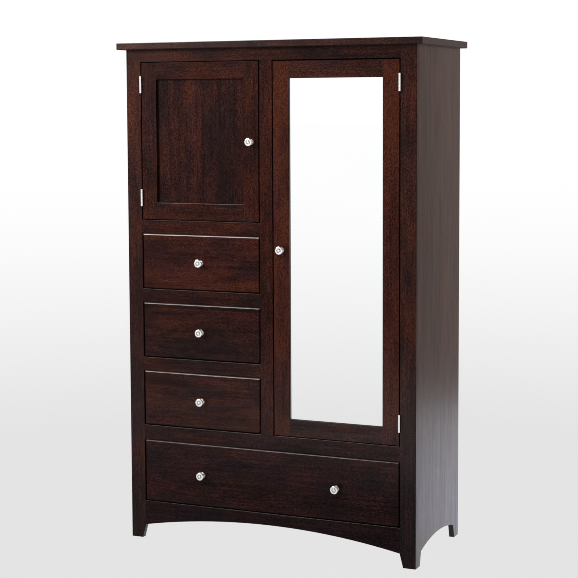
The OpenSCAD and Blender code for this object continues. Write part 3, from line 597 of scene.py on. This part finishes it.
# ---------------------------------------------------------------- studio
# the floor's dip in brightness near the object, where it ends and how fast it fades
NEAR_GLOW, NEAR_RADIUS, FALL = 0.225, 2.4, 6.2
FLOOR_RADIUS, FLOOR_SIDES, FLOOR_DROP = 140, 96, 0.0006
# the floor's and the sky's share of soft light, and the radius of the shade round the object
SHADE_RADIUS = 1.0
FLOOR_FILL = 0.36
SKY_FILL = 0.30
SKY_GLOW = 1.02
# the ceiling as gloss shows it, and the band of directions over which it darkens
CEILING_SHINE = 0.12
CEILING_EDGE = (0.10, 0.30)
# the floor close behind the object as gloss shows it, and where it begins and ends
REAR_SHINE = (1.13, 1.12, 1.28)
REAR_BEGINS = (0.0, 0.4)
REAR_ENDS = (3.2, 0.8)
# flags that only show in gloss
FLAG_AT, FLAG_SIZE, FLAG_COLOUR, FLAG_GLOW = (2.0, 2.2, 3.0), (7, 6), (1.0, 0.81, 0.74), 0.30


def emission(t, colour, strength):
    return t.add("ShaderNodeEmission", {"Color": colour, "Strength": strength}).outputs[0]


def floor_material():
    """Brightens away from the object, as a lit sweep does, and lights the object softly from
    beyond the shade under and round it. Close behind the object it has a cool shine in gloss."""
    mat = bpy.data.materials.new("floor")
    t = Tree(mat)
    place = t.coordinates("Object")
    rays = t.add("ShaderNodeLightPath").outputs
    far = t.length(place)
    away = t.math("MAXIMUM", t.math("SUBTRACT", far, NEAR_RADIUS), 0.0)
    dip = t.math("POWER", math.e, t.times(away, -1 / FALL))
    glow = t.math("MULTIPLY_ADD", dip, -NEAR_GLOW, 1.0)
    fill = t.spread(far, SHADE_RADIUS, 2 * SHADE_RADIUS, 0.0, FLOOR_FILL)
    soft = t.math("MULTIPLY_ADD", rays["Is Diffuse Ray"], t.math("SUBTRACT", fill, 1.0), 1.0)
    rear = t.split(place)[1]
    behind = t.times(t.spread(rear, *REAR_BEGINS), t.spread(rear, *REAR_ENDS))
    colour = t.mix(t.times(behind, rays["Is Glossy Ray"]), rgb(WHITE), rgb(REAR_SHINE))
    t.finish(emission(t, colour, t.times(glow, soft)))
    return mat


def make_floor():
    bpy.ops.mesh.primitive_circle_add(vertices=FLOOR_SIDES, radius=FLOOR_RADIUS, fill_type="NGON",
                                      location=(0, 0, -FLOOR_DROP))
    floor = bpy.context.object
    floor.name = "floor"
    floor.data.materials.append(floor_material())


def make_world():
    """White all round, with a dark ceiling that only shows in gloss."""
    world = bpy.data.worlds.new("studio")
    scene.world = world
    t = Tree(world)
    rays = t.add("ShaderNodeLightPath").outputs
    up = t.split(t.coordinates("Generated"))[2]
    shine = t.spread(up, *CEILING_EDGE, SKY_GLOW, CEILING_SHINE)
    seen = t.math("MULTIPLY_ADD", rays["Is Glossy Ray"], t.math("SUBTRACT", shine, SKY_FILL), SKY_FILL)
    strength = t.math("MULTIPLY_ADD", rays["Is Camera Ray"], t.math("SUBTRACT", SKY_GLOW, seen), seen)
    back = t.add("ShaderNodeBackground", {"Color": rgb(WHITE), "Strength": strength})
    t.finish(back.outputs[0], "ShaderNodeOutputWorld")


def area_light(name, at, aim, size, power):
    data = bpy.data.lights.new(name, "AREA")
    data.shape = "RECTANGLE"
    data.size, data.size_y = size
    data.energy = power
    light = bpy.data.objects.new(name, data)
    scene.collection.objects.link(light)
    light.location = at
    light.rotation_euler = (Vector(aim) - Vector(at)).to_track_quat("-Z", "Y").to_euler()


def flag(name, at):
    """A dim card that only shows in glossy reflections."""
    bpy.ops.mesh.primitive_plane_add(size=1, location=at)
    obj = bpy.context.object
    obj.name = name
    obj.scale = (*FLAG_SIZE, 1)
    aim = Vector((0, 0, at[2])) - Vector(at)
    obj.rotation_euler = aim.to_track_quat("Z", "Y").to_euler()
    mat = bpy.data.materials.new(name)
    t = Tree(mat)
    t.finish(emission(t, rgb(FLAG_COLOUR), FLAG_GLOW))
    obj.data.materials.append(mat)
    obj.visible_camera = False
    obj.visible_diffuse = False
    obj.visible_shadow = False
    obj.visible_transmission = False


make_floor()
make_world()
area_light("key", (-3.0, -3.0, 3.2), (0, 0, 1.3), (1.2, 1.2), 98)
area_light("overhead", (-1.7, -0.6, 3.9), (-0.3, -0.3, 1.0), (2.2, 1.4), 140)
for side, hand in (("right", 1), ("left", -1)):
    flag("flag_" + side, (hand * FLAG_AT[0], FLAG_AT[1], FLAG_AT[2]))
